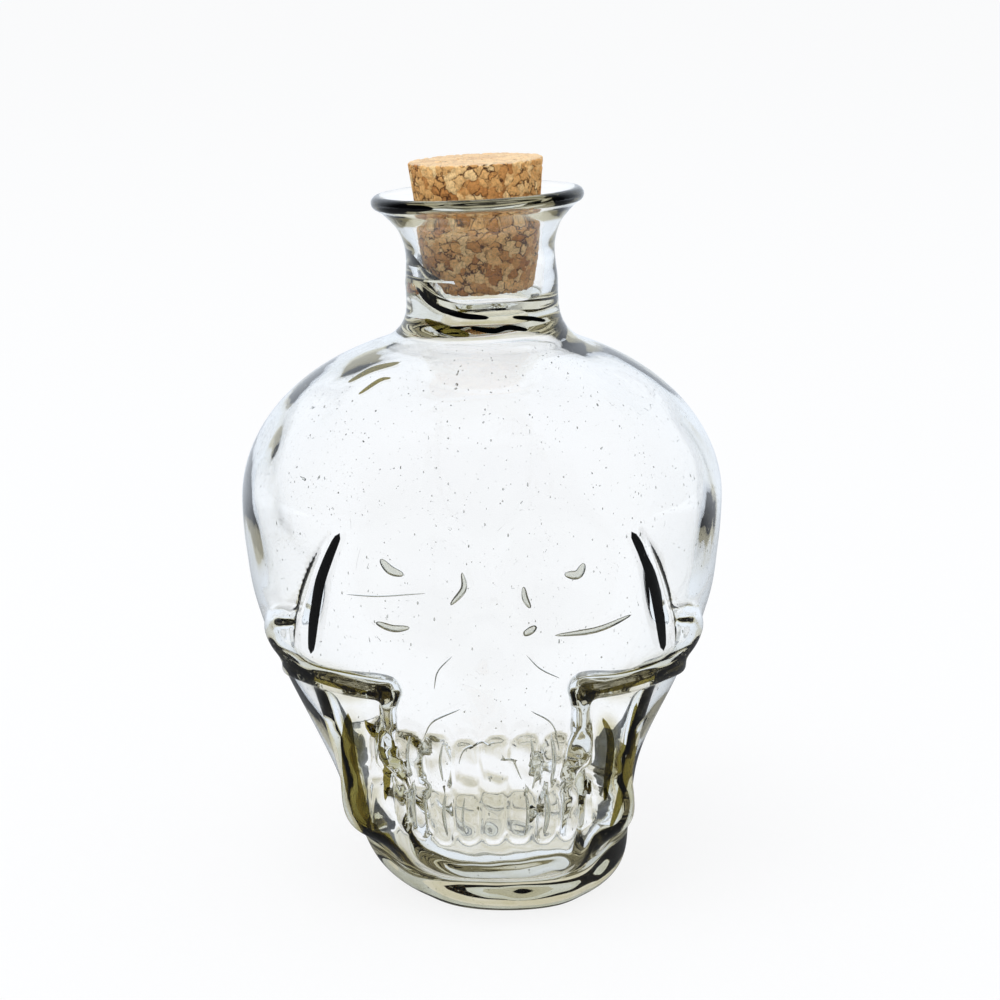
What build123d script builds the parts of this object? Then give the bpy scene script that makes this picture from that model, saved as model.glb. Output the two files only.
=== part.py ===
from build123d import *
from math import atan2, cos, degrees, radians, sin, sqrt
import os

import numpy as np

# A skull-shaped glass bottle with a tapered cork. The face looks along -Y, X is
# to the viewer's right, Z is up, and the origin is the middle of the resting face.

# Cranium: a half ellipsoid above its widest level and a deeper one below it
cranium_half_width = 61.0
cranium_half_depth = 68.0
cranium_level = 99.0
crown_rise = 43.0
cranium_drop = 80.0
cranium_set_back = 20.0

# Jaw: a tapered oval column that stands on the foot
foot_half_width = 35.0
foot_half_depth = 40.0
jaw_half_width = 42.0
jaw_half_depth = 41.0
jaw_level = 40.0
jaw_top_level = 75.0
jaw_forward = 3.0
foot_rounding = 9.0
foot_cut = 0.8
jaw_blend = 12.0

# Jawbone: a rounded ridge down each side of the face and across the chin
jawbone_radius = 6.0
jawbone_top_out = 35.5
jawbone_top_forward = 36.0
jawbone_bend_out = 28.5
jawbone_bend_forward = 34.5
jawbone_bend_level = 24.0
chin_out = 17.0
chin_side_forward = 35.0
chin_forward = 40.0
chin_level = 9.0
jawbone_blend = 7.0

# Muzzle: the upright rounded block that carries the teeth
muzzle_forward = 31.0
muzzle_half_width = 22.5
muzzle_half_depth = 24.5
muzzle_flare = 5.0
muzzle_bottom_level = 9.0
muzzle_top_level = 74.0
muzzle_rounding = 9.0
muzzle_blend = 5.0

# Face plate: the raised front of the face, with the cheekbones as its lower ends
plate_half_width = 63.0
plate_half_depth = 66.5
plate_half_height = 75.0
plate_level = 88.0
ledge_level = 60.0
brow_level = 104.0
temple_level = 70.0
temple_half_width = 45.0
temple_draw_in = 0.33
cheek_reach = 57.0
cheek_half_length = 21.5
cheek_half_height = 8.5
plate_edge = 4.0
plate_foot_blend = 3.0
outline_blend = 2.5

# Hollows of the face
eye_out = 20.0
eye_level = 88.0
eye_half_width = 13.0
eye_half_height = 11.5
eye_depth = 11.0
eye_rim = 5.0
nose_level = 75.0
nose_half_width = 7.0
nose_half_height = 8.0
nose_depth = 6.5
nose_rim = 3.0
cheek_hollow_out = 27.0
cheek_hollow_forward = 45.0
cheek_hollow_level = 37.0
cheek_hollow_half_width = 7.0
cheek_hollow_depth = 11.0
cheek_hollow_half_height = 22.0
cheek_hollow_rim = 5.0

# Teeth: two rows round the front of the muzzle
teeth_per_row = 10
teeth_pitch = 15.0
tooth_half_width = 2.6
tooth_stand = 1.6
tooth_root = 1.5
tooth_seat = 0.4
tooth_bevel = 1.0
upper_tooth_half_height = 8.0
upper_teeth_level = 42.0
lower_tooth_half_height = 7.5
lower_teeth_level = 25.0

# Glass thickness and the inside
wall = 4.0
floor_thickness = 9.0
floor_rounding = 10.0
floor_cut = 0.8
punt_radius = 22.0
punt_rise = 3.0

# Neck and mouth, which lean a little because the mouth was finished by hand
mouth_lean = 2.8
neck_height = 8.0
neck_blend = 8.0
throat_radius = 15.3
throat_rise = 17.0
flare_rise = 13.0
lip_rise = 23.8
lip_overhang = 7.5
lip_half_thickness = 1.9
mouth_tuck = 0.8
mouth_lap = 5.0
mouth_swell = 0.2
bore_belly = 0.9
bore_belly_rise = 2.0
bore_overlap = 11.0
mouth_bevel = 3.2

# Cork
cork_height = 33.0
cork_bottom_rise = 0.5
cork_taper = 3.75
cork_chamfer = 0.5
seat_gap = 0.2

overrun = 1.0

# Derived sizes
neck_radius = throat_radius + wall
neck_root_level = cranium_level + crown_rise
mouth_level = neck_root_level + neck_height
lip_radius = neck_radius + lip_overhang
lean_x = -sin(radians(mouth_lean))
lean_z = cos(radians(mouth_lean))

# How finely each half of a ring of the skin is drawn
OUTER_HALF_POINTS = 38
INNER_HALF_POINTS = 28
FACE_SHARE = 0.75
SEARCH_STEPS = 240
HALVINGS = 20


def ellipsoid(points, centre, reach):
    """Distance from points to an ellipsoid, negative inside, true near its surface."""
    scaled = (points - np.array(centre)) / np.array(reach)
    near = np.linalg.norm(scaled, axis=-1)
    slope = np.linalg.norm(scaled / np.array(reach), axis=-1)
    return near * (near - 1) / np.maximum(slope, 1e-9)


def oval(across, along, half_across, half_along):
    """Distance to an ellipse in a plane, negative inside."""
    near = np.hypot(across / half_across, along / half_along)
    slope = np.hypot(across / half_across**2, along / half_along**2)
    return near * (near - 1) / np.maximum(slope, 1e-9)


def joined(first, second, blend):
    """Both masses, run together over the width of the blend."""
    overlap = np.maximum(blend - np.abs(first - second), 0) / blend
    return np.minimum(first, second) - overlap**2 * blend / 4


def common(first, second, blend):
    """What lies in both masses, with its edge rounded."""
    return -joined(-first, -second, blend)


def carved(mass, hollow, rim):
    """The mass without the hollow, with the rim rounded."""
    return common(mass, -hollow, rim)


def both_sides(points):
    """The points with their left half folded onto the right, for paired features."""
    folded = points.copy()
    folded[..., 0] = np.abs(folded[..., 0])
    return folded


def cranium(points):
    """A dome above its widest level, and below it an egg that leans to the back."""
    centre = (0, 0, cranium_level)
    below = np.maximum(cranium_level - points[..., 2], 0) / cranium_drop
    leaned = points.copy()
    leaned[..., 1] -= cranium_set_back * below**2
    crown = ellipsoid(points, centre, (cranium_half_width, cranium_half_depth, crown_rise))
    lower = ellipsoid(leaned, centre, (cranium_half_width, cranium_half_depth, cranium_drop))
    return np.where(points[..., 2] > cranium_level, crown, lower)


def jaw(points):
    share = points[..., 2] / jaw_level
    half_width = foot_half_width + (jaw_half_width - foot_half_width) * share
    half_depth = foot_half_depth + (jaw_half_depth - foot_half_depth) * share
    side = oval(points[..., 0], points[..., 1] + jaw_forward, half_width, half_depth)
    footed = common(side, -points[..., 2] - foot_cut, foot_rounding)
    return common(footed, points[..., 2] - jaw_top_level, foot_rounding)


def rod(points, start, end, radius):
    """Distance to a round rod with domed ends."""
    start, end = np.array(start), np.array(end)
    along = np.clip((points - start) @ (end - start) / ((end - start) @ (end - start)), 0, 1)
    return np.linalg.norm(points - start - along[..., None] * (end - start), axis=-1) - radius


def jawbone(points):
    """The ridge on both sides, from under the cheek to the middle of the chin."""
    folded = both_sides(points)
    route = (
        (jawbone_top_out, -jawbone_top_forward, ledge_level),
        (jawbone_bend_out, -jawbone_bend_forward, jawbone_bend_level),
        (chin_out, -chin_side_forward, chin_level),
        (0, -chin_forward, chin_level),
    )
    ridge = rod(folded, route[0], route[1], jawbone_radius)
    for start, end in zip(route[1:], route[2:]):
        ridge = joined(ridge, rod(folded, start, end, jawbone_radius), jawbone_blend)
    return ridge


def muzzle(points):
    share = points[..., 2] / jaw_level
    half_depth = muzzle_half_depth + muzzle_flare * (share - 1)
    side = oval(points[..., 0], points[..., 1] + muzzle_forward, muzzle_half_width, half_depth)
    footed = common(side, muzzle_bottom_level - points[..., 2], muzzle_rounding)
    return common(footed, points[..., 2] - muzzle_top_level, muzzle_blend)


def face_plate(points):
    folded = both_sides(points)
    across, height = folded[..., 0], folded[..., 2]
    front = ellipsoid(
        points, (0, 0, plate_level), (plate_half_width, plate_half_depth, plate_half_height)
    )
    temple = (across - temple_half_width + (height - temple_level) * temple_draw_in) / sqrt(
        1 + temple_draw_in**2
    )
    upright = common(temple, ledge_level - height, outline_blend)
    upright = common(upright, height - brow_level, outline_blend)
    cheek = oval(
        across - (cheek_reach - cheek_half_length),
        height - (ledge_level + cheek_half_height),
        cheek_half_length,
        cheek_half_height,
    )
    outline = joined(upright, cheek, outline_blend)
    raised = common(front, outline, plate_edge)
    return common(raised, points[..., 1], plate_edge)


def neck(points):
    """A round column on the leaning axis of the mouth."""
    along = points[..., 2] - mouth_level
    from_axis = np.hypot(points[..., 0] - along * lean_x / lean_z, points[..., 1])
    return common(from_axis - neck_radius, cranium_level - points[..., 2], neck_blend)


def eyes(points):
    centre = (eye_out, -cranium_half_depth, eye_level)
    return ellipsoid(both_sides(points), centre, (eye_half_width, eye_depth, eye_half_height))


def nose(points):
    centre = (0, -plate_half_depth, nose_level)
    return ellipsoid(points, centre, (nose_half_width, nose_depth, nose_half_height))


def cheek_hollows(points):
    centre = (cheek_hollow_out, -cheek_hollow_forward, cheek_hollow_level)
    reach = (cheek_hollow_half_width, cheek_hollow_depth, cheek_hollow_half_height)
    return ellipsoid(both_sides(points), centre, reach)


def skull(points):
    """Distance to the moulded skin of the whole head and neck, negative inside."""
    form = joined(cranium(points), jaw(points), jaw_blend)
    form = joined(form, neck(points), neck_blend)
    form = carved(form, cheek_hollows(points), cheek_hollow_rim)
    form = joined(form, jawbone(points), jawbone_blend)
    form = joined(form, face_plate(points), plate_foot_blend)
    form = joined(form, muzzle(points), muzzle_blend)
    form = carved(form, eyes(points), eye_rim)
    return carved(form, nose(points), nose_rim)


def inside(points):
    """Distance to the inner skin, which follows the outer one a wall's thickness in."""
    floor = floor_thickness - floor_cut - points[..., 2]
    return common(skull(points) + wall, floor, floor_rounding)


def half_ring(skin, level, angles):
    """Half of a skin's outline at one level, found along rays towards the axis."""
    axis_x = (level - mouth_level) * lean_x / lean_z if level > cranium_level else 0
    outward = np.stack([np.sin(angles), -np.cos(angles), np.zeros(len(angles))], axis=-1)
    start = np.array([axis_x, 0, level])
    reach = cranium_half_width + cranium_half_depth
    trials = np.linspace(reach, 0, SEARCH_STEPS)
    within = skin(start + outward[:, None, :] * trials[None, :, None]) < 0
    first = within.argmax(axis=1)
    outer, inner = trials[np.maximum(first - 1, 0)], trials[first]
    for _ in range(HALVINGS):
        middle = (outer + inner) / 2
        held = skin(start + outward * middle[:, None]) < 0
        inner = np.where(held, middle, inner)
        outer = np.where(held, outer, middle)
    places = start + outward * inner[:, None]
    return Edge.make_spline([Vector(*map(float, place)) for place in places])


def ring(skin, level, count):
    """The closed outline of a skin at one level, out from the face and back to it."""
    turn = np.linspace(0, 1, count + 1)
    out = np.pi * (FACE_SHARE * turn + (1 - FACE_SHARE) * turn**3)
    home = 2 * np.pi - out[::-1]
    return Wire([half_ring(skin, level, out), half_ring(skin, level, home)])


def evenly(low, high, count):
    """Levels at even steps, from the low one up to just short of the high one."""
    return [low + (high - low) * i / count for i in range(count)]


def closing_in(low, high, count):
    """Levels whose steps shorten towards the high end, as on a dome."""
    return [low + (high - low) * sin(radians(90) * i / count) for i in range(count)]


def opening_out(low, high, count):
    """Levels whose steps lengthen from the low end, as on a rounded foot."""
    return [low + (high - low) * (1 - cos(radians(90) * i / count)) for i in range(count)]


def outer_levels():
    """Heights of the outer rings, closer together where the form turns quickly."""
    ledge_start = ledge_level - plate_edge
    ledge_end = ledge_level + plate_edge
    cheek_top = ledge_level + 2 * cheek_half_height
    return (
        opening_out(0, foot_rounding, 5)
        + evenly(foot_rounding, ledge_start, 12)
        + evenly(ledge_start, ledge_end, 5)
        + evenly(ledge_end, cheek_top, 4)
        + evenly(cheek_top, cranium_level, 6)
        + closing_in(cranium_level, neck_root_level, 11)
        + evenly(neck_root_level, mouth_level, 3)
        + [mouth_level, mouth_level + mouth_lap]
    )


def inner_levels():
    """Heights of the inner rings, from the floor up into the neck."""
    floor_top = floor_thickness + floor_rounding
    cheek_top = ledge_level + 2 * cheek_half_height
    return (
        opening_out(floor_thickness, floor_top, 5)
        + evenly(floor_top, ledge_level, 9)
        + evenly(ledge_level, cheek_top, 5)
        + evenly(cheek_top, cranium_level, 4)
        + closing_in(cranium_level, neck_root_level, 11)
        + [neck_root_level, neck_root_level + neck_height / 4]
    )


def tooth(turn, level, half_height):
    """One tooth, a round-fronted bar with bevelled ends, rooted in the muzzle's front."""
    left, right = (-tooth_half_width, 0), (tooth_half_width, 0)
    front = ThreePointArc(left, (0, -tooth_stand), right)
    back = Polyline(
        right, (tooth_half_width, tooth_root), (-tooth_half_width, tooth_root), left
    )
    bar = extrude(make_face(front + back), 2 * half_height)
    bar = chamfer(bar.edges().filter_by(GeomType.CIRCLE), tooth_bevel)
    half_depth = muzzle_half_depth + muzzle_flare * (level / jaw_level - 1)
    x = (muzzle_half_width - tooth_seat) * sin(radians(turn))
    y = -muzzle_forward - (half_depth - tooth_seat) * cos(radians(turn))
    tilt = degrees(atan2(muzzle_flare, jaw_level)) * cos(radians(turn))
    return Pos(x, y, level) * Rot(0, 0, turn) * Rot(tilt, 0, 0) * Pos(0, 0, -half_height) * bar


def teeth():
    turns = [(i - (teeth_per_row - 1) / 2) * teeth_pitch for i in range(teeth_per_row)]
    rows = (
        (upper_teeth_level, upper_tooth_half_height),
        (lower_teeth_level, lower_tooth_half_height),
    )
    return [tooth(turn, level, half) for level, half in rows for turn in turns]


def on_mouth(shape):
    """Stands a shape, made about +Z with its foot at zero, on the leaning mouth."""
    return Pos(0, 0, mouth_level) * Rot(0, -mouth_lean, 0) * shape


def mouth_outside():
    """The neck's collar and flared lip, turned about the leaning axis, foot tucked in."""
    lip_top = lip_rise + lip_half_thickness
    lip_under = lip_rise - lip_half_thickness
    under_radius = lip_radius - lip_half_thickness
    foot = (neck_radius - mouth_tuck, 0)
    flare_start = (neck_radius + mouth_swell, flare_rise)
    collar = Polyline(foot, (neck_radius + mouth_swell, mouth_lap), flare_start)
    flare = Spline([flare_start, (under_radius, lip_under)], tangents=[(0, 1), (2, 1)])
    edge = ThreePointArc((under_radius, lip_under), (lip_radius, lip_rise), (under_radius, lip_top))
    closing = Polyline((under_radius, lip_top), (0, lip_top), (0, 0), foot)
    return on_mouth(revolve(Plane.XZ * make_face(collar + flare + edge + closing), Axis.Z))


def bore():
    """The hollow of the neck: a throat that holds the cork, opening out above it."""
    top = lip_rise + lip_half_thickness + overrun
    mouth_radius = lip_radius - mouth_bevel
    foot = (throat_radius, -bore_overlap)
    throat = (throat_radius, throat_rise)
    belly = Spline(
        [foot, (throat_radius + bore_belly, bore_belly_rise), throat], tangents=[(0, 1), (0, 1)]
    )
    funnel = Spline([throat, (mouth_radius, top)], tangents=[(0, 1), (1, 1)])
    closing = Polyline((mouth_radius, top), (0, top), (0, -bore_overlap), foot)
    return on_mouth(revolve(Plane.XZ * make_face(belly + funnel + closing), Axis.Z))


def punt():
    """The shallow hollow under the foot, which leaves a flat ring to stand on."""
    dome_radius = (punt_radius**2 + punt_rise**2) / (2 * punt_rise)
    return Pos(0, -jaw_forward, punt_rise - dome_radius) * Sphere(dome_radius)


def glass_bottle():
    outer = Solid.make_loft([ring(skull, z, OUTER_HALF_POINTS) for z in outer_levels()], True)
    inner = Solid.make_loft([ring(inside, z, INNER_HALF_POINTS) for z in inner_levels()], True)
    hollowed = outer.fuse(mouth_outside()).cut(inner).cut(bore()).cut(punt())
    return hollowed.fuse(*teeth())


def cork_radius(rise):
    """The cork's radius at a height on the mouth's axis; it just clears the throat."""
    return throat_radius - seat_gap + (rise - throat_rise) * cork_taper / cork_height


def cork_stopper():
    top = cork_bottom_rise + cork_height
    cone = Pos(0, 0, cork_bottom_rise) * Cone(
        cork_radius(cork_bottom_rise),
        cork_radius(top),
        cork_height,
        align=(Align.CENTER, Align.CENTER, Align.MIN),
    )
    rims = cone.edges().filter_by(GeomType.CIRCLE)
    return on_mouth(chamfer(rims, cork_chamfer))


def main():
    os.makedirs("parts", exist_ok=True)
    for name, shape in (("glass_bottle", glass_bottle()), ("cork_stopper", cork_stopper())):
        export_step(shape, f"parts/{name}.step")
        print(name, round(shape.volume), shape.bounding_box().size)


main()
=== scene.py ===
from math import cos, radians, sin, sqrt

import bmesh
import bpy
import numpy as np
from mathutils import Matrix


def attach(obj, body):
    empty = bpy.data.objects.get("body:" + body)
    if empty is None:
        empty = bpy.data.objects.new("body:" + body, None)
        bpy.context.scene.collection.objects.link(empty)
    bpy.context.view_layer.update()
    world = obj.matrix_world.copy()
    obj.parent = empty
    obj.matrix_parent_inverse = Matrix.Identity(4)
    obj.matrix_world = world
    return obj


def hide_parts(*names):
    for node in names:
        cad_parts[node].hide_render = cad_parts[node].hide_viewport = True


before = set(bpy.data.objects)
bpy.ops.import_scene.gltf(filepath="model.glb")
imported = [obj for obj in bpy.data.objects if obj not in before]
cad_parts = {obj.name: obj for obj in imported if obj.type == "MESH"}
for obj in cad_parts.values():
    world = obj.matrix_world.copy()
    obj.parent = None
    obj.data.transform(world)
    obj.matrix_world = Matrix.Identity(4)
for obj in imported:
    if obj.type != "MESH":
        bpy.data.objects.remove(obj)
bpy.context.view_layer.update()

bl_info = {
    "name": "Skull Glass Bottle",
    "version": (1, 0, 0),
    "blender": (4, 5, 0),
    "location": "3D View > Sidebar > Skull Bottle",
    # The folds named here are painted shade: near-black slivers in the glass
    "description": "Moulds a skull-shaped glass bottle with its seeds, folds and cork",
    "category": "Add Mesh",
}

# The skull's form, in metres. The face looks along -Y and the bottle stands on Z = 0.
CRANIUM_WIDTH, CRANIUM_DEPTH, CRANIUM_LEVEL = 0.061, 0.068, 0.099
CROWN_RISE, CRANIUM_DROP, CRANIUM_SET_BACK = 0.043, 0.080, 0.020
FOOT_WIDTH, FOOT_DEPTH, JAW_WIDTH, JAW_DEPTH = 0.0315, 0.040, 0.042, 0.041
JAW_LEVEL, JAW_TOP, JAW_FORWARD, JAW_BLEND = 0.040, 0.075, 0.003, 0.012
FOOT_ROUNDING, FOOT_CUT = 0.010, 0.0008
JAWBONE_ROUTE = (
    (0.0355, -0.036, 0.060),
    (0.0285, -0.0335, 0.026),
    (0.0115, -0.0330, 0.0125),
    (0.0, -0.0360, 0.0125),
)
JAWBONE_RADIUS, JAWBONE_BLEND = 0.006, 0.007
MUZZLE_FORWARD, MUZZLE_WIDTH, MUZZLE_DEPTH = 0.031, 0.0240, 0.0245
MUZZLE_FLARE, MUZZLE_FOOT, MUZZLE_TOP = 0.005, 0.011, 0.074
MUZZLE_ROUNDING, MUZZLE_BLEND, MUZZLE_SQUARE = 0.009, 0.003, 2.5
PLATE_REACH, PLATE_LEVEL = (0.063, 0.0665, 0.075), 0.088
LEDGE_LEVEL, BROW_LEVEL, TEMPLE_LEVEL = 0.059, 0.104, 0.070
TEMPLE_WIDTH, TEMPLE_DRAW_IN = 0.0472, 0.33
CHEEK_REACH, CHEEK_LENGTH, CHEEK_HEIGHT = 0.0546, 0.0215, 0.0112
FACE_STRIP_WIDTH, FACE_STRIP_FOOT, FACE_TURN = 0.0252, 0.040, radians(1.3)
PLATE_EDGE, PLATE_FOOT_BLEND, OUTLINE_BLEND = 0.0022, 0.002, 0.0025
EYE_PLACE, EYE_REACH, EYE_RIM = (0.0175, -0.0705, 0.090), (0.013, 0.0105, 0.012), 0.005
NOSE_PLACE, NOSE_REACH, NOSE_RIM = (0, -0.0685, 0.075), (0.007, 0.0065, 0.008), 0.003
FOOT_SHIFT, FOOT_SHIFT_TOP = 0.0058, 0.045
HOLLOW_PLACE, HOLLOW_REACH = (0.027, -0.045, 0.037), (0.007, 0.011, 0.022)
HOLLOW_RIM = 0.005

# The step behind each temple: its levels, its edge from the top down, and where it fades
TEMPLE_HOLLOW_LEVEL, TEMPLE_HOLLOW_RISE, TEMPLE_HOLLOW_DEPTH = 0.0845, 0.0170, 0.0030
TEMPLE_EDGE, TEMPLE_EDGE_SPREAD, TEMPLE_EDGE_WIDTH = 0.0371, 0.0092, 0.0008
TEMPLE_EDGE_FOOT, TEMPLE_EDGE_RISE, TEMPLE_FRONT = 0.069, 0.031, (0.004, 0.018)
TEMPLE_FADE, TEMPLE_FADE_SPREAD, TEMPLE_FADE_LEVELS = 0.049, 0.011, (0.070, 0.088)

# The wall: thinner at the crown and beside the muzzle, thicker behind the cheek ledges
CROWN_LEVELS, CROWN_THINNING = (0.085, 0.125), 0.34
LEDGE_SWELL, LEDGE_SWELL_LEVEL, LEDGE_SWELL_HEIGHT = 0.0004, 0.061, 0.005
CHEEK_ACROSS, CHEEK_FRONT = (0.018, 0.026), (0.005, 0.030)
SIDE_THINNING, SIDE_ACROSS, SIDE_WIDTH = 0.0014, 0.0210, 0.0035
SIDE_FRONT, SIDE_LEVELS = (0.030, 0.036), (0.056, 0.062)
MOUTH_SWIRL, MOUTH_MIDDLE, MOUTH_HEIGHT, MOUTH_FRONT = 0.0007, 0.036, 0.012, (0.026, 0.034)
OUTER_RIPPLE, INNER_RIPPLE, MOUTH_RIPPLE = 0.011, 0.008, 0.0021

# Teeth: rows as (middle level, half height), and the part of the skin that can hold them
TOOTH_ROWS = ((0.0435, 0.0072), (0.0295, 0.0070))
TOOTH_PITCH, TEETH_PER_SIDE = radians(15), 5
TEETH_BACK, TEETH_REACH, TEETH_TOP = 0.004, 0.027, 0.055

# Neck and mouth, turned about an axis that leans to the left; profiles as (radius, rise)
NECK_ROOT, MOUTH_LEVEL, NECK_RADIUS, NECK_BLEND = 0.142, 0.150, 0.0193, 0.008
LEAN = radians(2.8)
THROAT_RADIUS, THROAT_RISE, LIP_RADIUS, LIP_RISE = 0.0153, 0.017, 0.0268, 0.0238
LIP_HALF_THICKNESS, NECK_BORE = 0.0019, 0.0160
COLLAR = (
    (0.0192, 0.003), (0.0190, 0.007), (0.0191, 0.012), (0.0205, 0.0165), (0.0228, 0.0195),
    (0.0246, 0.0213),
)
FUNNEL = (
    (0.0232, 0.0248), (0.0214, 0.0233), (0.0192, 0.0217), (0.0172, 0.0197), (0.0157, 0.0165),
    (0.0154, 0.0130), (0.0160, 0.0080), (0.0160, 0.0045),
)
NECK_RING = (
    (0.0160, 0.0042), (0.0157, 0.0022), (0.0150, -0.0004), (0.0134, -0.0020),
    (0.0119, -0.0034), (0.0115, -0.0050), (0.0121, -0.0066), (0.0137, -0.0077),
    (0.0152, -0.0084),
)
FLOOR_LEVEL, FLOOR_CUT, FLOOR_ROUNDING, FLOOR_DOME = 0.009, 0.0008, 0.010, 0.0012
PUNT_RADIUS, PUNT_RISE, HOLLOW_TOP = 0.022, 0.003, 0.1395

# The cork, with one chip and a worn edge at its foot
CORK_FOOT, CORK_HEIGHT, CORK_TAPER, SEAT_GAP = 0.0005, 0.033, 0.00375, 0.0002
CORK_EDGE, CHIP_TURN, CHIP_SPREAD = 0.0005, radians(295), 0.30
CHIP_DEPTH, CHIP_RISE, WORN_DEPTH, WORN_RISE = 0.0016, 0.0028, 0.00035, 0.0009

# Slivers in the wall, in millimetres: the half width, then places across and up
MM = 0.001
# Painted shade: near-black slivers for the black crescents at the temples and the dark band at the
# neck's root, where the glass only looks black from its inner reflections
SHADE_SLIVER_ROUTES = (
    (1.3, (-33.8, 100.3), (-36.4, 94.5), (-39, 87), (-40.6, 78), (-41.7, 68)),
    (1.3, (36.1, 100.3), (39, 94.5), (41.6, 87), (43.4, 78), (44.7, 68)),
    (0.7, (-17, 152.5), (-13, 148.8), (-6, 146.8), (2, 146.2)),
    (0.6, (-3, 144.1), (3, 143.4), (7, 144), (12, 143.1)),
    (0.5, (8, 146.2), (13, 145.5), (16.5, 144.5)),
)
OLIVE_CORDS = (
    (2.6, (-32.7, 52), (-33, 41), (-31.2, 29.5), (-26.2, 19), (-17, 11.5)),
    (0.8, (-27.9, 50), (-24, 41.5), (-23.7, 30)),
    (1.2, (28.9, 50), (31.5, 43.5), (30.3, 29)),
    (1.3, (38.5, 54), (36.2, 35), (32, 21)),
    (0.9, (-47, 64), (-41, 61.3), (-33, 60.6), (-24.5, 60)),
    (0.9, (25, 60), (34.5, 60.6), (42.5, 61.3), (48.8, 64)),
    (1, (-15, 145), (-10, 143.5), (-3, 142.5)),
    (0.4, (-33, 131.5), (-27, 134.5), (-20, 136.5)),
    (0.3, (-30, 130), (-25, 133), (-22, 133.8)),
)
FACE_MARKS = (
    (1.1, (-23.6, 94.8), (-21.1, 92.1), (-18, 90.8)),
    (1.1, (19.6, 90.8), (22.7, 90.8), (24.3, 93.5)),
    (0.7, (-4.9, 92.5), (-4.6, 88.7), (-7.6, 84.7)),
    (0.7, (10.5, 88.7), (10.9, 86.1), (12.1, 83.8)),
    (0.18, (-32.5, 85.4), (-22, 86.1), (-13, 86.8)),
    (1, (-25.3, 79.3), (-21.1, 78.3), (-16.9, 79)),
    (1, (10.1, 77.4), (11.6, 78.3), (13.4, 79.7)),
    (0.8, (17.6, 76.9), (27.7, 77.2), (36.4, 79.7)),
    (0.6, (-13, 50), (-14.1, 43), (-13.3, 36)),
    (0.4, (-9.2, 49), (-10.1, 44), (-9.4, 38.5)),
    (0.6, (12.4, 50), (13.5, 43), (12.7, 36)),
    (0.6, (17.2, 50.5), (18.1, 43), (17.4, 35.5)),
    (0.5, (-17.6, 50), (-18.4, 43), (-17.6, 36)),
    (0.7, (-16.8, 37.5), (-17.5, 31), (-16.6, 24)),
    (0.8, (-12.6, 38), (-13.4, 30.5), (-12.4, 23.5)),
    (0.6, (-8.5, 37), (-9.3, 30.5), (-8.3, 24)),
    (0.4, (-4.2, 35), (-4.8, 29.5), (-4, 25)),
    (0.7, (11, 37.5), (12, 30.5), (11.2, 24)),
    (0.8, (15.6, 38), (16.6, 30.5), (15.6, 24)),
    (0.5, (19.6, 37.5), (20.4, 31.5), (19.6, 25.5)),
    (0.18, (-6.8, 72.2), (-10.3, 68), (-11.3, 63)),
    (0.18, (10.9, 72.2), (14.2, 68.5), (19, 65.5)),
    (0.2, (-14.2, 48.5), (-11.8, 54), (-5, 58)),
    (0.2, (12, 57.2), (17.2, 53), (19.4, 45.5)),
    (0.25, (-6.1, 43.3), (-3.6, 47.7), (3.3, 49.5)),
    (0.25, (5.2, 46.2), (8, 43), (10, 39)),
)
# Painted shade inside the lip's bead, as near-black slivers: from and to in degrees round the
# mouth, and the half width
LIP_SHADE_SLIVERS = ((-70, -40, 0.0008), (-48, -24, 0.0005), (46, 68, 0.0006))

# Olive cast in the thick places: centre, reach and strength
TINT_PATCHES = (
    ((-0.0325, -0.030, 0.043), (0.0050, 0.022, 0.014), 1.0),
    ((-0.0290, -0.030, 0.026), (0.0065, 0.022, 0.012), 1.0),
    ((-0.0200, -0.033, 0.013), (0.0090, 0.020, 0.007), 0.9),
    ((0.0315, -0.030, 0.041), (0.0040, 0.022, 0.014), 0.8),
    ((0.0360, -0.028, 0.030), (0.0045, 0.022, 0.016), 0.8),
    ((-0.0380, -0.036, 0.0610), (0.0200, 0.030, 0.0085), 0.5),
    ((0.0400, -0.036, 0.0610), (0.0200, 0.030, 0.0085), 0.45),
    ((0.0030, -0.003, -0.004), (0.0750, 0.085, 0.0280), 0.55),
    ((0.0000, 0.000, 0.1450), (0.0260, 0.026, 0.0075), 0.7),
    ((-0.0185, -0.018, 0.1740), (0.0125, 0.014, 0.0070), 0.6),
    ((0.0210, -0.018, 0.1740), (0.0090, 0.014, 0.0070), 0.35),
    ((0.0010, -0.052, 0.0330), (0.0130, 0.012, 0.0080), 0.20),
)

# Looks: the studio's tone steps at each reflection, counted in shares of TONE_COUNT
GLASS_INDEX, AIR_INDEX, TONE_COUNT = 1.5, 0.667, 5.0
STUDIO_TONES = (
    (0.0, (1.0, 1.0, 1.0)),
    (0.1, (0.84, 0.91, 1.0)),
    (0.3, (0.74, 0.76, 0.72)),
    (0.5, (0.60, 0.58, 0.45)),
    (0.7, (0.28, 0.26, 0.17)),
)
GLOSS_LEAST, SIDE_LEAST, THROUGH_GAIN = 0.04, 0.45, 0.12
CORK_TONES = (
    (0.0, (0.50, 0.21, 0.06)),
    (0.16, (0.67, 0.33, 0.105)),
    (0.45, (0.82, 0.455, 0.165)),
    (0.75, (0.92, 0.56, 0.23)),
    (1.0, (0.98, 0.70, 0.35)),
)
# The dark gaps between granules, and the paler colour painted on faces that look up as light
# falling from above
CORK_GAP_COLOUR, CORK_PAINTED_TOP_LIGHT = (0.10, 0.042, 0.016, 1), (0.95, 0.78, 0.56, 1)
GRAIN_JITTER = 0.0032

# How finely the pieces are cut, with fewer rows at the crown, and the rows that hold seeds
COLUMNS, SKIN_ROWS, HOLLOW_ROWS, CROWN_FROM, CROWN_SPARING = 256, 176, 104, 0.106, 0.5
CORK_COLUMNS, SLIVER_STEPS, SLIVER_SIDES, SEEDED_ROWS = 300, 26, 12, slice(8, -6)
SEARCH_REACH = 0.078

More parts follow.
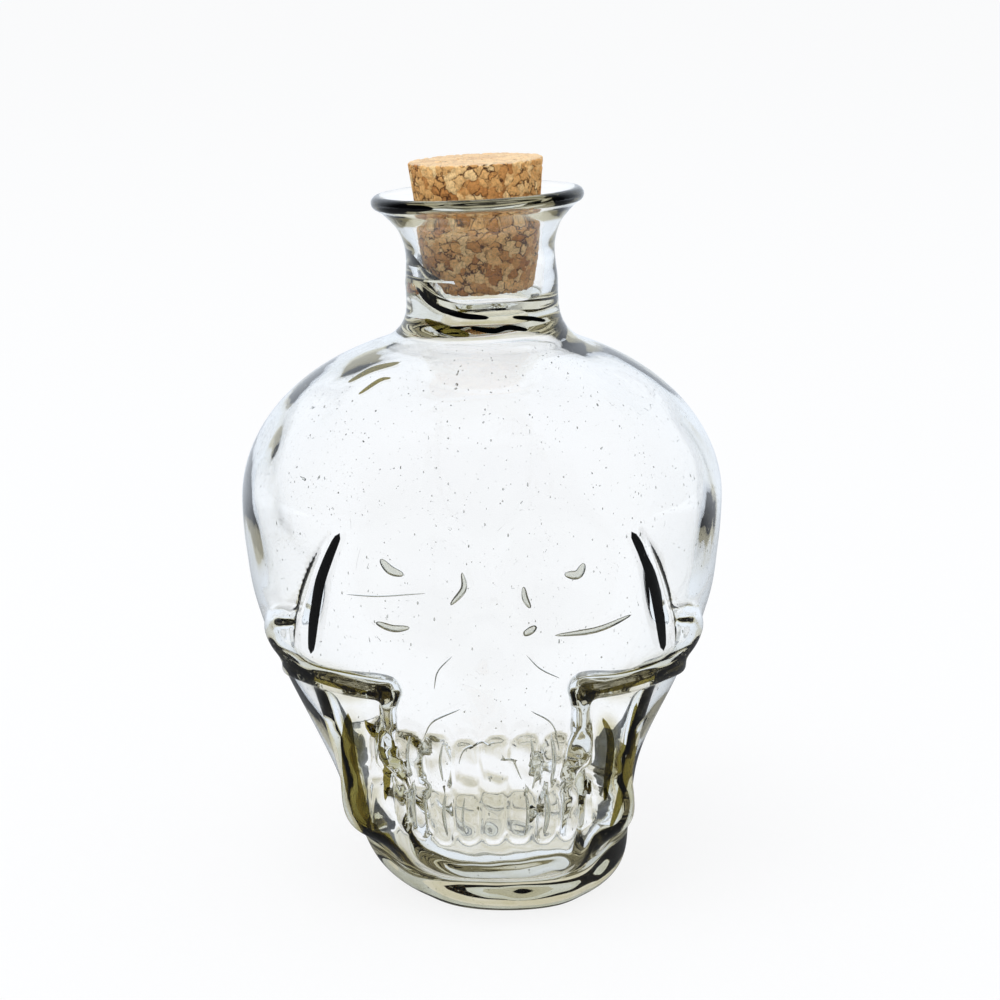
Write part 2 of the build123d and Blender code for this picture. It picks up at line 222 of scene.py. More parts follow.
# The stage
FLOOR_REACH, FLOOR_DROP = 12.0, 0.0002
LAMP_PLACE, LAMP_TURN, LAMP_WIDTH = (-0.75, -1.2, 2.7), (radians(24), 0, radians(-32)), 2.4
CAMERA_PLACE, CAMERA_TILT, CAMERA_LENS = (0.0045, -0.700, 0.241), radians(90 - 11.65), 100.8
CAMERA_SENSOR, CAMERA_CLIP = 36.0, (0.05, 60.0)
MOST_BOUNCES, GLOSSY_BOUNCES = 24, 10


def ellipsoid(points, centre, reach):
    """Distance to an ellipsoid, negative inside, true near its surface."""
    scaled = (points - np.array(centre)) / np.array(reach)
    near = np.linalg.norm(scaled, axis=-1)
    slope = np.linalg.norm(scaled / np.array(reach), axis=-1)
    return near * (near - 1) / np.maximum(slope, 1e-9)


def oval(across, along, half_across, half_along):
    """Distance to an ellipse in a plane, negative inside."""
    near = np.hypot(across / half_across, along / half_along)
    slope = np.hypot(across / half_across**2, along / half_along**2)
    return near * (near - 1) / np.maximum(slope, 1e-9)


def joined(first, second, blend):
    """Both masses, run together over the width of the blend."""
    overlap = np.maximum(blend - np.abs(first - second), 0) / blend
    return np.minimum(first, second) - overlap**2 * blend / 4


def common(first, second, blend):
    """What lies in both masses, with its edge rounded."""
    return -joined(-first, -second, blend)


def cut_level(side, height, low, high, low_blend, high_blend):
    """An upright mass cut off level below and above."""
    return common(common(side, low - height, low_blend), height - high, high_blend)


def rod(points, start, end, radius):
    """Distance to a round rod with domed ends."""
    start, end = np.array(start), np.array(end)
    along = np.clip((points - start) @ (end - start) / ((end - start) @ (end - start)), 0, 1)
    return np.linalg.norm(points - start - along[..., None] * (end - start), axis=-1) - radius


def step(value, low, high):
    """A smooth rise from 0 at low to 1 at high."""
    share = np.clip((value - low) / (high - low), 0, 1)
    return share * share * (3 - 2 * share)


def swell(value, middle, width):
    """A smooth bulge, 1 at its middle."""
    return np.exp(-(((value - middle) / width) ** 2))


def lean_shift(level):
    """How far the mouth's axis stands to the side at a level."""
    return -(level - MOUTH_LEVEL) * np.tan(LEAN)


def cranium(points):
    """The round of the skull, which draws back below its widest level."""
    centre = (0, 0, CRANIUM_LEVEL)
    below = np.maximum(CRANIUM_LEVEL - points[..., 2], 0) / CRANIUM_DROP
    leaned = points.copy()
    leaned[..., 1] -= CRANIUM_SET_BACK * below**2
    crown = ellipsoid(points, centre, (CRANIUM_WIDTH, CRANIUM_DEPTH, CROWN_RISE))
    lower = ellipsoid(leaned, centre, (CRANIUM_WIDTH, CRANIUM_DEPTH, CRANIUM_DROP))
    return np.where(points[..., 2] > CRANIUM_LEVEL, crown, lower)


def jaw(points):
    """The lower half, from the flat foot up into the cranium."""
    share = points[..., 2] / JAW_LEVEL
    width = FOOT_WIDTH + (JAW_WIDTH - FOOT_WIDTH) * share
    depth = FOOT_DEPTH + (JAW_DEPTH - FOOT_DEPTH) * share
    side = oval(points[..., 0], points[..., 1] + JAW_FORWARD, width, depth)
    return cut_level(side, points[..., 2], -FOOT_CUT, JAW_TOP, FOOT_ROUNDING, FOOT_ROUNDING)


def jawbone(folded):
    """The ridge from the cheek down to the chin, both sides folded into one."""
    ridge = rod(folded, JAWBONE_ROUTE[0], JAWBONE_ROUTE[1], JAWBONE_RADIUS)
    for start, end in zip(JAWBONE_ROUTE[1:], JAWBONE_ROUTE[2:]):
        ridge = joined(ridge, rod(folded, start, end, JAWBONE_RADIUS), JAWBONE_BLEND)
    return ridge


def muzzle(points):
    """The squarish block that carries the teeth."""
    height = points[..., 2]
    depth = MUZZLE_DEPTH + MUZZLE_FLARE * (height / JAW_LEVEL - 1)
    across, along = points[..., 0] / MUZZLE_WIDTH, (points[..., 1] + MUZZLE_FORWARD) / depth
    near = np.abs(across) ** MUZZLE_SQUARE + np.abs(along) ** MUZZLE_SQUARE
    side = (near ** (1 / MUZZLE_SQUARE) - 1) * MUZZLE_WIDTH
    return cut_level(side, height, MUZZLE_FOOT, MUZZLE_TOP, MUZZLE_ROUNDING, MUZZLE_BLEND)


def face_plate(points, folded, edge):
    """The raised face: temples, cheek ledges and the strip down to the teeth."""
    across, height = folded[..., 0], folded[..., 2]
    front = ellipsoid(points, (0, 0, PLATE_LEVEL), PLATE_REACH)
    temple = across - TEMPLE_WIDTH + (height - TEMPLE_LEVEL) * TEMPLE_DRAW_IN
    temple, blend = temple / sqrt(1 + TEMPLE_DRAW_IN**2), OUTLINE_BLEND
    upright = cut_level(temple, height, LEDGE_LEVEL, BROW_LEVEL, blend, blend)
    cheek_across = across - (CHEEK_REACH - CHEEK_LENGTH)
    cheek_up = height - (LEDGE_LEVEL + CHEEK_HEIGHT)
    cheek = oval(cheek_across, cheek_up, CHEEK_LENGTH, CHEEK_HEIGHT)
    strip = across - FACE_STRIP_WIDTH
    strip = cut_level(strip, height, FACE_STRIP_FOOT, BROW_LEVEL, blend, blend)
    outline = joined(joined(upright, cheek, blend), strip, blend)
    return common(common(front, outline, edge), points[..., 1], edge)


def neck(points):
    """The round neck about its leaning axis."""
    along = points[..., 2] - MOUTH_LEVEL
    from_axis = np.hypot(points[..., 0] + along * np.tan(LEAN), points[..., 1])
    return common(from_axis - NECK_RADIUS, CRANIUM_LEVEL - points[..., 2], NECK_BLEND)


def temple_hollows(folded, inset):
    """How far the skin steps back behind the upright edge of each temple."""
    across, height = folded[..., 0], folded[..., 2]
    rise = (height - TEMPLE_HOLLOW_LEVEL) / TEMPLE_HOLLOW_RISE
    drawn_in = np.clip((height - TEMPLE_EDGE_FOOT) / TEMPLE_EDGE_RISE, 0, 1) ** 1.6
    edge = TEMPLE_EDGE + TEMPLE_EDGE_SPREAD * (1 - drawn_in) - inset
    depth = TEMPLE_HOLLOW_DEPTH * np.clip(1 - rise**2, 0, 1) ** 1.1
    end = TEMPLE_FADE + TEMPLE_FADE_SPREAD * step(height, *TEMPLE_FADE_LEVELS)
    fading = (1 - np.clip((across - edge) / (end - edge), 0, 1)) ** 2
    front = step(-folded[..., 1], *TEMPLE_FRONT)
    begun = step(across, edge - TEMPLE_EDGE_WIDTH, edge + TEMPLE_EDGE_WIDTH)
    return depth * front * fading * begun


def head(points, soften=0.0, inset=0.0):
    """Distance to the moulded skin of the head and neck; soften rounds its small forms."""
    base = joined(cranium(points), neck(points), NECK_BLEND)
    low = np.clip(1 - points[..., 2] / FOOT_SHIFT_TOP, 0, 1)
    x, y = points[..., 0] - FOOT_SHIFT * low**2, points[..., 1]
    points = points.copy()
    points[..., 0] = x * cos(FACE_TURN) + y * sin(FACE_TURN)
    points[..., 1] = y * cos(FACE_TURN) - x * sin(FACE_TURN)
    folded = points.copy()
    folded[..., 0] = np.abs(folded[..., 0])
    form = joined(base, jaw(points), JAW_BLEND + soften)
    hollows = ellipsoid(folded, HOLLOW_PLACE, HOLLOW_REACH)
    form = common(form, -hollows, HOLLOW_RIM + soften)
    form = joined(form, jawbone(folded), JAWBONE_BLEND + soften)
    plate = face_plate(points, folded, PLATE_EDGE + soften)
    form = joined(form, plate, PLATE_FOOT_BLEND + soften)
    form = joined(form, muzzle(points), MUZZLE_BLEND + soften)
    eyes = ellipsoid(folded, EYE_PLACE, EYE_REACH)
    form = common(form, -eyes, EYE_RIM + soften)
    form = common(form, -ellipsoid(points, NOSE_PLACE, NOSE_REACH), NOSE_RIM + soften)
    return form + temple_hollows(folded, inset)


def ripple(points, size):
    """Slow unevenness of hand-worked glass, between about -1 and 1."""
    x, y, z = (points[..., i] / size for i in range(3))
    first = np.sin(1.9 * x + 0.7 * z + 0.4) * np.sin(1.3 * y - 0.9 * z + 1.1)
    second = np.sin(0.8 * x - 1.7 * y + 2.3) * np.sin(2.1 * z + 0.6 * x)
    return 0.6 * first + 0.4 * second


def teeth(points, stand):
    """How far the teeth stand out of the muzzle's front."""
    turn = np.arctan2(points[..., 0], -(points[..., 1] + MUZZLE_FORWARD)) / TOOTH_PITCH
    index = np.clip(np.floor(turn), -TEETH_PER_SIDE, TEETH_PER_SIDE - 1)
    across = np.abs(turn - index - 0.5) / 0.5
    uneven = np.sin(index * 2.4 + 0.8)
    raised = np.zeros(points.shape[:-1])
    for row, (level, half) in enumerate(TOOTH_ROWS):
        middle = level + 0.0005 * np.sin(index * 1.7 + row)
        height = np.abs(points[..., 2] - middle) / (half * (1 + 0.04 * uneven))
        reach = np.clip(across, 0, 1) ** 2.6 + np.clip(height, 0, 1) ** 3
        raised = np.maximum(raised, np.sqrt(np.clip(1 - reach, 0, 1)))
    return stand * raised * (1 + 0.15 * uneven)


def outer_skin(settings):
    """Distance to the outside of the glass, teeth and unevenness included."""

    def field(points):
        form = head(points)
        near = points[..., 1] < -MUZZLE_FORWARD + TEETH_BACK
        near &= (np.abs(points[..., 0]) < TEETH_REACH) & (points[..., 2] < TEETH_TOP)
        raised = np.zeros(form.shape)
        raised[near] = teeth(points[near], settings.tooth_stand)
        return form - raised + settings.waviness * 0.35 * (1 + ripple(points, OUTER_RIPPLE))

    return field


def inner_skin(settings):
    """Distance to the inside of the glass, a wall's thickness behind the softened head."""

    def field(points):
        across, front, height = np.abs(points[..., 0]), -points[..., 1], points[..., 2]
        wall = settings.wall * (1 - CROWN_THINNING * step(height, *CROWN_LEVELS))
        ledge = swell(height, LEDGE_SWELL_LEVEL, LEDGE_SWELL_HEIGHT)
        cheek = step(across, *CHEEK_ACROSS) * step(front, *CHEEK_FRONT)
        wall = wall + LEDGE_SWELL * ledge * cheek
        side = swell(across, SIDE_ACROSS, SIDE_WIDTH) * step(front, *SIDE_FRONT)
        wall = wall - SIDE_THINNING * side * (1 - step(height, *SIDE_LEVELS))
        wall = wall + settings.waviness * ripple(points, INNER_RIPPLE)
        mouth = swell(height, MOUTH_MIDDLE, MOUTH_HEIGHT) * step(front, *MOUTH_FRONT)
        wall = wall + MOUTH_SWIRL * mouth * ripple(points, MOUTH_RIPPLE)
        skin = head(points, settings.inner_softness, 0.4 * settings.wall) + wall
        return common(skin, FLOOR_LEVEL - FLOOR_CUT - height, FLOOR_ROUNDING)

    return field


def azimuths(count):
    """Directions round the bottle, closer together across the face and its teeth."""
    fine = np.linspace(0, 2 * np.pi, 2001)
    off = np.degrees(np.minimum(fine, 2 * np.pi - fine))
    weight = 0.25 + 0.75 * (1 - step(off, 70, 100)) + 0.4 * (1 - step(off, 20, 38))
    walked = np.concatenate([[0], np.cumsum((weight[1:] + weight[:-1]) / 2)])
    return np.interp(np.linspace(0, walked[-1], count, endpoint=False), walked, fine)


def ways_out(turns):
    """Directions away from the axis, from the face round by the right."""
    return np.stack([np.sin(turns), -np.cos(turns), np.zeros(len(turns))], axis=-1)


def outermost(field, starts, ways, trials, halvings):
    """Where rays that come in from outside, back along their ways, first meet the mass."""
    reaches = np.linspace(SEARCH_REACH, 0.0, trials)
    within = field(starts[:, None] + ways[:, None] * reaches[:, None]) < 0
    first = within.argmax(axis=1)
    outer, inner = reaches[np.maximum(first - 1, 0)], reaches[first]
    for _ in range(halvings):
        middle = (outer + inner) / 2
        held = field(starts + ways * middle[:, None]) < 0
        inner, outer = np.where(held, middle, inner), np.where(held, outer, middle)
    return starts + ways * inner[:, None]


def skin_ring(field, level, turns, trials=150, halvings=13):
    """A skin's outline at one level, found along rays towards the axis."""
    share = step(level, CRANIUM_LEVEL, NECK_ROOT)
    start = np.array([[share * lean_shift(level), 0, level]])
    return outermost(field, start, ways_out(turns), trials, halvings)


def even_levels(field, low, high, count):
    """Levels whose rings lie evenly along the steepest part of the skin."""
    turns = np.linspace(0, 2 * np.pi, 18, endpoint=False)
    fine = np.linspace(low, high, 150)
    rings = np.array([skin_ring(field, z, turns, trials=60, halvings=8) for z in fine])
    paths = np.linalg.norm(np.diff(rings, axis=0), axis=-1)
    weight = np.where(fine[1:] < CROWN_FROM, 1, CROWN_SPARING)
    walked = np.concatenate([[0], np.cumsum(paths.max(axis=1) * weight)])
    return np.interp(np.linspace(0, walked[-1], count), walked, fine)


def mouth_ring(turns, radius, rise):
    """A ring about the mouth's leaning axis; radius and rise may vary round it."""
    radius, rise = radius + np.zeros(len(turns)), rise + np.zeros(len(turns))
    x, y = radius * np.sin(turns), -radius * np.cos(turns)
    return np.stack(
        [x * cos(LEAN) - rise * sin(LEAN), y, MOUTH_LEVEL + x * sin(LEAN) + rise * cos(LEAN)],
        axis=-1,
    )


def smooth_path(points, count):
    """Evenly spaced places on a smooth curve through the given ones."""
    points = np.array(points)
    ends = np.concatenate([2 * points[:1] - points[1:2], points, 2 * points[-1:] - points[-2:-1]])
    places = []
    for a, b, c, d in zip(ends, ends[1:], ends[2:], ends[3:]):
        for t in np.linspace(0, 1, 24, endpoint=False):
            places.append(
                b + t * (c - a) / 2 + t * t * (a - 2.5 * b + 2 * c - d / 2)
                + t**3 * (1.5 * (b - c) + (d - a) / 2)
            )
    places = np.array(places + [points[-1]])
    walked = np.concatenate([[0], np.cumsum(np.linalg.norm(np.diff(places, axis=0), axis=1))])
    even = np.linspace(0, walked[-1], count)
    return np.stack([np.interp(even, walked, places[:, i]) for i in range(2)], axis=-1)


def mouth_rings(turns, settings):
    """Collar, flare, lip bead and funnel, from the collar's foot up and in to the throat."""
    rings = []
    slack = settings.waviness * 0.5
    uneven = slack * np.sin(2 * turns + 0.7) + 0.6 * slack * np.sin(3 * turns + 2.0)
    for radius, rise in smooth_path(COLLAR, 26):
        share = step(rise, 0.003, 0.010)
        rings.append(mouth_ring(turns, radius + share * (uneven - slack), rise))
    bead_radius = LIP_HALF_THICKNESS * (0.97 + 0.03 * np.cos(2 * turns - 0.5))
    for turn in np.linspace(-58, 128, 20):
        out = (LIP_RADIUS - LIP_HALF_THICKNESS) + bead_radius * cos(radians(turn))
        rings.append(mouth_ring(turns, out, LIP_RISE + bead_radius * sin(radians(turn))))
    return rings + [mouth_ring(turns[::2], *place) for place in smooth_path(FUNNEL, 26)]


def neck_ring_rows(turns, settings):
    """The thick slanted ring of glass inside the root of the neck."""
    rings, left = [], -np.sin(turns)
    lift = 0.0070 * np.clip(left, 0, 1) ** 3 + 0.0008 * left + 0.0005 * np.sin(3 * turns + 0.4)
    bulge = 0.86 + 0.08 * left + 0.08 * np.sin(5 * turns + 1.3)
    for radius, rise in smooth_path(NECK_RING, 34):
        depth = (NECK_BORE - radius) * bulge * settings.ring_weight
        slanted = rise + lift * step(rise, -0.0085, 0.002)
        rings.append(mouth_ring(turns, NECK_BORE - depth, slanted))
    return rings


def bridge(faces, first, second):
    """Joins a ring to the next one, which has as many points, or half or twice as many."""
    n, m = len(first), len(second)
    for i in range(min(n, m)):
        j = (i + 1) % min(n, m)
        if n == m:
            faces.append((first[i], first[j], second[j], second[i]))
        elif n > m:
            a, b, c = first[2 * i], first[2 * i + 1], first[(2 * i + 2) % n]
            faces.extend([(a, b, second[i]), (b, second[j], second[i]), (b, c, second[j])])
        else:
            a, b, c = second[2 * i], second[2 * i + 1], second[(2 * i + 2) % m]
            faces.extend([(first[i], b, a), (first[i], first[j], b), (first[j], c, b)])


def close_pole(faces, ring, pole, upwards):
    """Fans a ring in to a single point."""
    for i in range(len(ring)):
        j = (i + 1) % len(ring)
        faces.append((ring[i], ring[j], pole) if upwards else (ring[j], ring[i], pole))


def mesh_object(name, points, faces, material):
    """A smooth-shaded mesh in the scene."""
    mesh = bpy.data.meshes.new(name)
    mesh.from_pydata([tuple(map(float, p)) for p in points], [], faces)
    mesh.validate()
    mesh.polygons.foreach_set("use_smooth", [True] * len(mesh.polygons))
    mesh.materials.append(material)
    mesh.update()
    made = bpy.data.objects.new(name, mesh)
    bpy.context.scene.collection.objects.link(made)
    return made


def shell_of_rings(rings, first_pole, last_pole):
    """Points and faces of a closed shell, ring after ring from one pole to the other."""
    points, faces, rows = [], [], []
    for ring in rings:
        rows.append(list(range(len(points), len(points) + len(ring))))
        points.extend(ring)
    for low, high in zip(rows, rows[1:]):
        bridge(faces, low, high)
    points.extend([first_pole, last_pole])
    close_pole(faces, rows[0], len(points) - 2, False)
    close_pole(faces, rows[-1], len(points) - 1, True)
    return points, faces


def under_skin(field, places, depth):
    """Points at a depth under the front of the skin, for places given across and up."""
    starts, forward = np.insert(places, 1, 0.0, axis=1), np.array([[0.0, -1.0, 0.0]])
    found = outermost(field, starts, forward, 60, 9)
    sides = 1e-4 * np.eye(3)
    slope = np.stack([field(found + side) - field(found - side) for side in sides], axis=-1)
    slope /= np.maximum(np.linalg.norm(slope, axis=1), 1e-9)[:, None]
    return found - slope * np.reshape(depth, (-1, 1))


def sliver(field, route, half_width, half_depth, sunk, taper):
    """A closed lens-shaped sliver that follows a route under the front of the skin."""
    path = smooth_path(route, SLIVER_STEPS)
    along = np.gradient(path, axis=0)
    along /= np.linalg.norm(along, axis=1)[:, None]
    fullness = (1 - np.linspace(-1, 1, len(path)) ** 2) ** taper
    turns = np.linspace(0, 2 * np.pi, SLIVER_SIDES, endpoint=False)
    rings = []
    for centre, (run, rise), share in zip(path, along, fullness):
        places = centre + np.cos(turns)[:, None] * np.array([rise, -run]) * half_width * share
        rings.append(under_skin(field, places, sunk + np.sin(turns) * half_depth * share))
    return shell_of_rings(rings[1:-1], rings[0][0], rings[-1][0])


def lip_sliver(start, end, half_width):
    """A closed sliver that runs round inside the lip's bead."""
    rings, round_about = [], np.linspace(0, 2 * np.pi, SLIVER_SIDES, endpoint=False)
    for share in np.linspace(-1, 1, 22):
        half = half_width * sqrt(1 - share**2)
        turns = np.full(SLIVER_SIDES, radians(start + (end - start) * (share + 1) / 2))
        out = LIP_RADIUS - LIP_HALF_THICKNESS + half * np.cos(round_about)
        rings.append(mouth_ring(turns, out, LIP_RISE + half * np.sin(round_about)))
    return shell_of_rings(rings[1:-1], rings[0][0], rings[-1][0])


def slivers_object(name, shells, finish):
    """All slivers as one mesh, facing outwards."""
    points, faces = [], []
    for more_points, more_faces in shells:
        faces.extend(tuple(i + len(points) for i in face) for face in more_faces)
        points.extend(more_points)
    made = mesh_object(name, points, faces, finish)
    shape = bmesh.new()
    shape.from_mesh(made.data)
    if shape.calc_volume(signed=True) < 0:
        made.data.flip_normals()
    shape.free()
    return made


def under_foot(turns, foot_ring):
    """The punt and the flat ring to stand on, from the middle outwards."""
    dome = (PUNT_RADIUS**2 + PUNT_RISE**2) / (2 * PUNT_RISE)
    centre = np.array([FOOT_SHIFT, -JAW_FORWARD, 0])
    rings = []
    for radius in PUNT_RADIUS * np.linspace(0.12, 1, 12):
        ring = centre + ways_out(turns) * radius
        ring[:, 2] = PUNT_RISE - dome + sqrt(dome**2 - radius**2)
        rings.append(ring)
    rings += [rings[-1] + (foot_ring - rings[-1]) * share for share in (0.25, 0.5, 0.75, 0.93)]
    return rings, centre + np.array([0, 0, PUNT_RISE])


def over_floor(floor_ring):
    """The inside of the floor, gently domed, from the wall to the middle."""
    middle = floor_ring.mean(axis=0)
    middle[2] = floor_ring[0, 2]
    rings = []
    for share in np.linspace(0.9, 0.1, 9):
        ring = middle + (floor_ring - middle) * share
        ring[:, 2] += FLOOR_DOME * (1 - share**2)
        rings.append(ring)
    return rings, middle + np.array([0, 0, FLOOR_DOME])


def new_group(name, kind, inputs, outputs):
    """A node group with named inputs and outputs, and what comes in at its inputs."""
    tree = bpy.data.node_groups.new(name, kind)
    for label, socket, value in inputs:
        kind = "NodeSocket" + socket
        made = tree.interface.new_socket(name=label, in_out="INPUT", socket_type=kind)
        if value is not None:
            made.default_value = value
    for label, socket in outputs:
        kind = "NodeSocket" + socket
        tree.interface.new_socket(name=label, in_out="OUTPUT", socket_type=kind)
    return tree, put(tree, "NodeGroupInput").outputs


def put(tree, kind, links=None, **settings):
    """Adds a node, sets its properties, and fills its sockets with values or links."""
    made = tree.nodes.new(kind)
    for name, value in settings.items():
        setattr(made, name, value)
    for socket, value in (links or {}).items():
        target = made.inputs[socket]
        if isinstance(value, bpy.types.NodeSocket):
            tree.links.new(value, target)
        else:
            target.default_value = value
    return made


def result(tree, kind, links=None, output=0, **settings):
    """What comes out of a node that is put in."""
    return put(tree, kind, links, **settings).outputs[output]


def reckon(tree, operation, *values):
    """The result of a math node on numbers or sockets."""
    return result(tree, "ShaderNodeMath", dict(enumerate(values)), operation=operation)


def vector_reckon(tree, operation, links, output=0):
    """The result of a vector math node on values or sockets."""
    return result(tree, "ShaderNodeVectorMath", links, output, operation=operation)


def ranged(tree, value, low, high, least, most, smooth=False):
    """A value carried from one range over to another, and held at its ends."""
    links = {"Value": value, "From Min": low, "From Max": high, "To Min": least, "To Max": most}
    kind = "SMOOTHSTEP" if smooth else "LINEAR"
    return result(tree, "ShaderNodeMapRange", links, interpolation_type=kind)


def blended(tree, factor, first, second):
    """A colour between two others."""
    return result(tree, "ShaderNodeMix", {0: factor, 6: first, 7: second}, 2, data_type="RGBA")


def colour_ramp(tree, factor, stops, interpolation="LINEAR"):
    """The colour that a number stands for, by stops as (place, colour)."""
    made = put(tree, "ShaderNodeValToRGB", {"Fac": factor})
    made.color_ramp.interpolation = interpolation
    elements = made.color_ramp.elements
    for element, (place, colour) in zip(elements, (stops[0], stops[-1])):
        element.position, element.color = place, (*colour, 1)
    for place, colour in stops[1:-1]:
        elements.new(place).color = (*colour, 1)
    return made.outputs["Color"]


def noise(tree, place, scale, detail, output="Fac", roughness=0.5):
    """A cloudy pattern at a place, as a number or as a colour."""
    links = {"Vector": place, "Scale": scale, "Detail": detail, "Roughness": roughness}
    return result(tree, "ShaderNodeTexNoise", links, output)


def bump(tree, height, strength, distance):
    """The normal of a surface with a fine relief."""
    links = {"Strength": strength, "Distance": distance, "Height": height}
    return result(tree, "ShaderNodeBump", links)


def tone_group():
    """How bright the studio looks to a ray, by how often the glass has turned it back.

    The studio is lit from behind. Gloss and Side say how bright it is where a ray goes that
    the skin's gloss, or the glass from inside, throws back. What comes through the glass is
    brighter than the background that is seen beside it.
    """
    tree, given = new_group(
        "studio_tone",
        "ShaderNodeTree",
        [(label, "Float", 0.0) for label in ("Reflections", "Passes", "Scatterings")]
        + [("Gloss", "Float", 1.0), ("Side", "Float", 1.0), ("Ambient", "Float", 0.8)],
        [("Color", "Color")],
    )
    share = reckon(tree, "DIVIDE", given["Reflections"], TONE_COUNT)
    tone = colour_ramp(tree, share, STUDIO_TONES, "CONSTANT")
    thrown = reckon(tree, "MINIMUM", given["Reflections"], 1.0)
    through = reckon(tree, "MINIMUM", given["Passes"], 1.0)
    links = {0: through, 2: given["Gloss"], 3: given["Side"]}
    seen = result(tree, "ShaderNodeMix", links, data_type="FLOAT")
    lit = reckon(tree, "MULTIPLY_ADD", thrown, reckon(tree, "SUBTRACT", seen, 1.0), 1.0)
    gain = reckon(tree, "MULTIPLY_ADD", through, THROUGH_GAIN, 1.0)
    level = reckon(tree, "MULTIPLY", lit, gain)
    scaled = vector_reckon(tree, "SCALE", {0: tone, 3: level})
    spread = reckon(tree, "GREATER_THAN", given["Scatterings"], 0.5)
    ambient = result(tree, "ShaderNodeCombineColor", dict.fromkeys(range(3), given["Ambient"]))
    put(tree, "NodeGroupOutput", {"Color": blended(tree, spread, scaled, ambient)})
    return tree


def emptied(owner):
    """A material or world made ready for nodes, and its tree."""
    owner.use_nodes = True
    owner.node_tree.nodes.clear()
    return owner, owner.node_tree


def material(name):
    """A new material and its empty tree."""
    return emptied(bpy.data.materials.new(name))


def surfaced(made, tree, surface, **more):
    """The material, once its surface is joined to its output."""
    put(tree, "ShaderNodeOutputMaterial", {"Surface": surface, **more})
    return made


def patch_group():
    """A soft-edged patch in space: full at its centre, none past its reach."""
    tree, given = new_group(
        "tint_patch",
        "ShaderNodeTree",
        [(label, "Vector", None) for label in ("Vector", "Centre", "Reach")]
        + [("Strength", "Float", 1.0), ("Others", "Float", 0.0)],
        [("Mask", "Float")],
    )
    shifted = vector_reckon(tree, "SUBTRACT", {0: given["Vector"], 1: given["Centre"]})
    scaled = vector_reckon(tree, "DIVIDE", {0: shifted, 1: given["Reach"]})
    far = vector_reckon(tree, "LENGTH", {0: scaled}, "Value")
    mask = ranged(tree, far, 0.5, 1.0, 1.0, 0.0, smooth=True)
    weighed = reckon(tree, "MULTIPLY", mask, given["Strength"])
    put(tree, "NodeGroupOutput", {"Mask": reckon(tree, "MAXIMUM", weighed, given["Others"])})
    return tree


def tinted(tree, place, settings):
    """The glass's own colour: clear, with an olive cast where it is thick."""
    group, mask = patch_group(), 0.0
    for centre, reach, strength in TINT_PATCHES:
        links = {0: place, "Centre": centre, "Reach": reach, "Strength": strength, "Others": mask}
        mask = result(tree, "ShaderNodeGroup", links, node_tree=group)
    uneven = ranged(tree, noise(tree, place, 130.0, 3.0), 0.38, 0.6, 0.45, 1.0)
    share = reckon(tree, "MULTIPLY", mask, uneven)
    return blended(tree, share, (*settings.clear, 1), (*settings.cast, 1))


def see_through(tree, colour, index, **more):
    """A smooth surface that light passes through."""
    links = {"Base Color": colour, "Roughness": 0.0, "IOR": index, "Transmission Weight": 1.0}
    return result(tree, "ShaderNodeBsdfPrincipled", {**links, **more})


def glass_material(settings):
    made, tree = material("clear_recycled_glass")
    place = result(tree, "ShaderNodeTexCoord", output="Object")
    drawn = result(tree, "ShaderNodeMapping", {"Vector": place, "Scale": (1.0, 1.0, 0.3)})
    flow = bump(tree, noise(tree, drawn, 60.0, 2.0), 0.25, 0.0006)
    surface = see_through(tree, tinted(tree, place, settings), GLASS_INDEX, Normal=flow)
    links = {"Color": (*settings.tint, 1), "Density": settings.tint_density}
    tint = result(tree, "ShaderNodeVolumeAbsorption", links)
    return surfaced(made, tree, surface, Volume=tint)


def hollow_material(name, colour, index):
    """What a closed hollow in the glass looks like; index is its filling's to the glass's."""
    made, tree = material(name)
    return surfaced(made, tree, see_through(tree, (*colour, 1), index))


def grain_nodes(tree, place, granule):
    """Granules by colour, and how far their edges are, for the cork's relief and colour."""
    jitter = noise(tree, place, 560.0, 3.0, "Color")
    centred = vector_reckon(tree, "SUBTRACT", {0: jitter, 1: (0.5, 0.5, 0.5)})
    links = {0: centred, 1: (GRAIN_JITTER, GRAIN_JITTER, GRAIN_JITTER), 2: place}
    shifted = vector_reckon(tree, "MULTIPLY_ADD", links)
    links = {"Vector": shifted, "Scale": reckon(tree, "DIVIDE", 1.0, granule)}
    cells = result(tree, "ShaderNodeTexVoronoi", links, "Color")
    return cells, result(
        tree, "ShaderNodeTexVoronoi", links, "Distance", feature="DISTANCE_TO_EDGE"
    )


def grain_group():
    """Cork granules: a colour number for each, the dark gaps between, and fine pores."""
    tree, given = new_group(
        "cork_grain",
        "ShaderNodeTree",
        [("Vector", "Vector", None), ("Granule", "Float", 0.0024)],
        [("Kind", "Float"), ("Gap", "Float"), ("Pores", "Float")],
    )
    place = given["Vector"]
    cells, edges = grain_nodes(tree, place, given["Granule"])
    kind = result(tree, "ShaderNodeSeparateColor", {0: cells})
    gap = ranged(tree, edges, 0.015, 0.11, 1.0, 0.0, smooth=True)
    open_part = ranged(tree, noise(tree, place, 330.0, 2.0), 0.42, 0.58, 0.0, 1.0, smooth=True)
    cracked = reckon(tree, "MULTIPLY", gap, open_part)
    pores = noise(tree, place, 1500.0, 5.0, roughness=0.7)
    put(tree, "NodeGroupOutput", {"Kind": kind, "Gap": cracked, "Pores": pores})
    return tree


